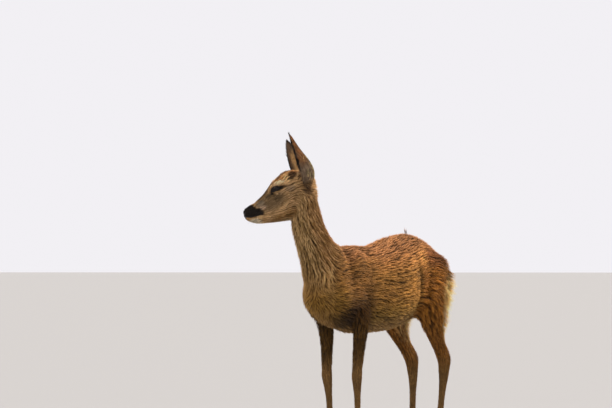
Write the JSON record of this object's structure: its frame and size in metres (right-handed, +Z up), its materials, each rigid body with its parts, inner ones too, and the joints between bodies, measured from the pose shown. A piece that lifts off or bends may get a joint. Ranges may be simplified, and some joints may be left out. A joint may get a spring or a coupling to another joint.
{
  "type": "roe deer",
  "caption": "Life-size still model of a standing roe deer doe in summer coat, looking to her right with her ears up.",
  "frame": {"origin": "on the floor under the middle of the model's box", "axes": "+Z up; the deer's trunk faces -Y and her left side is +X"},
  "size_m": [0.2536, 0.8344, 0.9818],
  "materials": {
    "red_brown_coat": "short flat summer fur, foxy red-brown",
    "grey_brown_coat": "short fur, greyer brown, pale on the chin and inside the ears",
    "eyeball": "wet and glossy, near black",
    "hoof_horn": "satin black horn"
  },
  "bodies": {
    "root": {"head": "grey_brown_coat", "neck": "grey_brown_coat", "ear_left": "grey_brown_coat", "ear_right": "grey_brown_coat", "trunk": "red_brown_coat", "tail": "red_brown_coat", "fore_left_arm": "red_brown_coat", "fore_left_cannon": "red_brown_coat", "fore_left_pastern": "red_brown_coat", "fore_right_arm": "red_brown_coat", "fore_right_cannon": "red_brown_coat", "fore_right_pastern": "red_brown_coat", "hind_left_thigh": "red_brown_coat", "hind_left_cannon": "red_brown_coat", "hind_left_pastern": "red_brown_coat", "hind_right_thigh": "red_brown_coat", "hind_right_cannon": "red_brown_coat", "hind_right_pastern": "red_brown_coat", "eye_left": "eyeball", "eye_right": "eyeball", "fore_left_hoof_inner": "hoof_horn", "fore_left_hoof_outer": "hoof_horn", "fore_left_dewclaw_inner": "hoof_horn", "fore_left_dewclaw_outer": "hoof_horn", "fore_right_hoof_inner": "hoof_horn", "fore_right_hoof_outer": "hoof_horn", "fore_right_dewclaw_inner": "hoof_horn", "fore_right_dewclaw_outer": "hoof_horn", "hind_left_hoof_inner": "hoof_horn", "hind_left_hoof_outer": "hoof_horn", "hind_left_dewclaw_inner": "hoof_horn", "hind_left_dewclaw_outer": "hoof_horn", "hind_right_hoof_inner": "hoof_horn", "hind_right_hoof_outer": "hoof_horn", "hind_right_dewclaw_inner": "hoof_horn", "hind_right_dewclaw_outer": "hoof_horn"}
  },
  "joints": []
}
